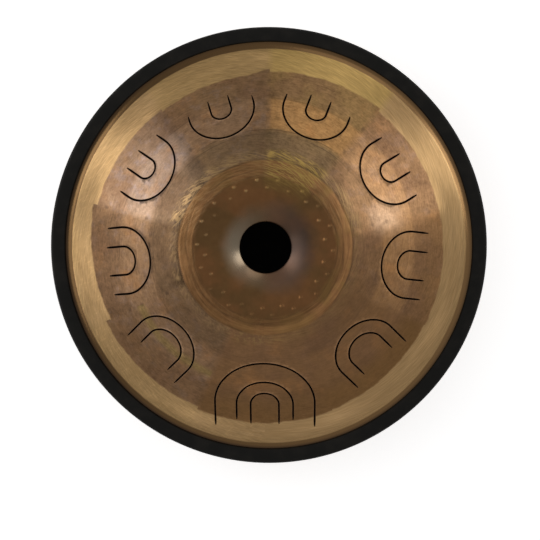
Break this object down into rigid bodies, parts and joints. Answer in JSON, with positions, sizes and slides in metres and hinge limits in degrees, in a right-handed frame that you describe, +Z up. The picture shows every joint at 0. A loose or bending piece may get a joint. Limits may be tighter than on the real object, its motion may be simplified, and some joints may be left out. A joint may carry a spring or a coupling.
{
  "type": "tongue drum",
  "caption": "Handpan-shaped steel tongue drum: faceted slotted top shell with nested tongues, central port, closed bowl, rubber rim trim and feet.",
  "frame": {"origin": "on the surface the drum stands on, below the centre of the port", "axes": "+Z up through the port; -Y towards the low note, the player's side"},
  "size_m": [0.5292, 0.53, 0.199],
  "materials": {
    "heat_tinted_steel": "heat-tinted copper and brown steel, hand-sanded to bright gold near the rim",
    "bowl_steel": "heat-tinted brown steel, satin",
    "rubber": "matt black",
    "adhesive": "dark cured adhesive"
  },
  "bodies": {
    "shell": {"top_shell": "heat_tinted_steel", "bottom_shell": "bowl_steel", "bond_ring": "adhesive", "rim_trim": "rubber", "foot_1": "rubber", "foot_2": "rubber", "foot_3": "rubber", "foot_4": "rubber"},
    "note_1_outer": {"note_1_outer_tongue": "heat_tinted_steel"},
    "note_1_middle": {"note_1_middle_tongue": "heat_tinted_steel"},
    "note_1_inner": {"note_1_inner_tongue": "heat_tinted_steel"},
    "note_2_outer": {"note_2_outer_tongue": "heat_tinted_steel"},
    "note_2_inner": {"note_2_inner_tongue": "heat_tinted_steel"},
    "note_4_outer": {"note_4_outer_tongue": "heat_tinted_steel"},
    "note_4_inner": {"note_4_inner_tongue": "heat_tinted_steel"},
    "note_6_outer": {"note_6_outer_tongue": "heat_tinted_steel"},
    "note_6_inner": {"note_6_inner_tongue": "heat_tinted_steel"},
    "note_8_outer": {"note_8_outer_tongue": "heat_tinted_steel"},
    "note_8_inner": {"note_8_inner_tongue": "heat_tinted_steel"},
    "note_9_outer": {"note_9_outer_tongue": "heat_tinted_steel"},
    "note_9_inner": {"note_9_inner_tongue": "heat_tinted_steel"},
    "note_7_outer": {"note_7_outer_tongue": "heat_tinted_steel"},
    "note_7_inner": {"note_7_inner_tongue": "heat_tinted_steel"},
    "note_5_outer": {"note_5_outer_tongue": "heat_tinted_steel"},
    "note_5_inner": {"note_5_inner_tongue": "heat_tinted_steel"},
    "note_3_outer": {"note_3_outer_tongue": "heat_tinted_steel"},
    "note_3_inner": {"note_3_inner_tongue": "heat_tinted_steel"}
  },
  "joints": [
    {"name": "note_1_outer_flex", "type": "hinge", "parent": "shell", "child": "note_1_outer", "pos_m": [0, -0.21681, 0.11711], "axis": [1, 0, 0], "range_deg": [-0.6, 0.6], "stiffness_Nm_per_rad": 33},
    {"name": "note_1_middle_flex", "type": "hinge", "parent": "note_1_outer", "child": "note_1_middle", "pos_m": [0, -0.20852, 0.1227], "axis": [1, 0, 0], "range_deg": [-1, 1], "stiffness_Nm_per_rad": 3.1},
    {"name": "note_1_inner_flex", "type": "hinge", "parent": "note_1_outer", "child": "note_1_inner", "pos_m": [0, -0.21391, 0.11907], "axis": [1, 0, 0], "range_deg": [-1.2, 1.2], "stiffness_Nm_per_rad": 1.2},
    {"name": "note_2_outer_flex", "type": "hinge", "parent": "shell", "child": "note_2_outer", "pos_m": [0.13924, -0.13924, 0.13053], "axis": [0.7071, 0.7071, 0], "range_deg": [-0.8, 0.8], "stiffness_Nm_per_rad": 9.5},
    {"name": "note_2_inner_flex", "type": "hinge", "parent": "note_2_outer", "child": "note_2_inner", "pos_m": [0.13455, -0.13455, 0.135], "axis": [0.7071, 0.7071, 0], "range_deg": [-1.2, 1.2], "stiffness_Nm_per_rad": 1.5},
    {"name": "note_4_outer_flex", "type": "hinge", "parent": "shell", "child": "note_4_outer", "pos_m": [0.18703, -0.02107, 0.1364], "axis": [0.112, 0.9937, 0], "range_deg": [-0.9, 0.9], "stiffness_Nm_per_rad": 4.8},
    {"name": "note_4_inner_flex", "type": "hinge", "parent": "shell", "child": "note_4_inner", "pos_m": [0.18909, -0.02131, 0.135], "axis": [0.112, 0.9937, 0], "range_deg": [-1.4, 1.4], "stiffness_Nm_per_rad": 0.76},
    {"name": "note_6_outer_flex", "type": "hinge", "parent": "shell", "child": "note_6_outer", "pos_m": [0.1555, 0.09771, 0.13948], "axis": [-0.532, 0.8467, 0], "range_deg": [-1, 1], "stiffness_Nm_per_rad": 3.8},
    {"name": "note_6_inner_flex", "type": "hinge", "parent": "shell", "child": "note_6_inner", "pos_m": [0.16252, 0.10212, 0.13388], "axis": [-0.532, 0.8467, 0], "range_deg": [-1.5, 1.5], "stiffness_Nm_per_rad": 0.47},
    {"name": "note_8_outer_flex", "type": "hinge", "parent": "shell", "child": "note_8_outer", "pos_m": [0.05888, 0.16826, 0.14311], "axis": [-0.9439, 0.3303, 0], "range_deg": [-1.2, 1.2], "stiffness_Nm_per_rad": 2.6},
    {"name": "note_8_inner_flex", "type": "hinge", "parent": "shell", "child": "note_8_inner", "pos_m": [0.06189, 0.17687, 0.13696], "axis": [-0.9439, 0.3303, 0], "range_deg": [-1.7, 1.7], "stiffness_Nm_per_rad": 0.29},
    {"name": "note_9_outer_flex", "type": "hinge", "parent": "shell", "child": "note_9_outer", "pos_m": [-0.05806, 0.16591, 0.14479], "axis": [-0.9439, -0.3303, 0], "range_deg": [-1.2, 1.2], "stiffness_Nm_per_rad": 2.1},
    {"name": "note_9_inner_flex", "type": "hinge", "parent": "shell", "child": "note_9_inner", "pos_m": [-0.0612, 0.17491, 0.13836], "axis": [-0.9439, -0.3303, 0], "range_deg": [-1.9, 1.9], "stiffness_Nm_per_rad": 0.22},
    {"name": "note_7_outer_flex", "type": "hinge", "parent": "shell", "child": "note_7_outer", "pos_m": [-0.15445, 0.09705, 0.14031], "axis": [-0.532, -0.8467, 0], "range_deg": [-1.1, 1.1], "stiffness_Nm_per_rad": 3.5},
    {"name": "note_7_inner_flex", "type": "hinge", "parent": "shell", "child": "note_7_inner", "pos_m": [-0.16182, 0.10168, 0.13444], "axis": [-0.532, -0.8467, 0], "range_deg": [-1.5, 1.5], "stiffness_Nm_per_rad": 0.43},
    {"name": "note_5_outer_flex", "type": "hinge", "parent": "shell", "child": "note_5_outer", "pos_m": [-0.18579, -0.02093, 0.13724], "axis": [0.112, -0.9937, 0], "range_deg": [-1, 1], "stiffness_Nm_per_rad": 4.5},
    {"name": "note_5_inner_flex", "type": "hinge", "parent": "shell", "child": "note_5_inner", "pos_m": [-0.1895, -0.02135, 0.13472], "axis": [0.112, -0.9937, 0], "range_deg": [-1.4, 1.4], "stiffness_Nm_per_rad": 0.79},
    {"name": "note_3_outer_flex", "type": "hinge", "parent": "shell", "child": "note_3_outer", "pos_m": [-0.13719, -0.13719, 0.13249], "axis": [0.7071, -0.7071, 0], "range_deg": [-0.8, 0.8], "stiffness_Nm_per_rad": 8.1},
    {"name": "note_3_inner_flex", "type": "hinge", "parent": "note_3_outer", "child": "note_3_inner", "pos_m": [-0.13309, -0.13309, 0.1364], "axis": [0.7071, -0.7071, 0], "range_deg": [-1.3, 1.3], "stiffness_Nm_per_rad": 1.2}
  ]
}
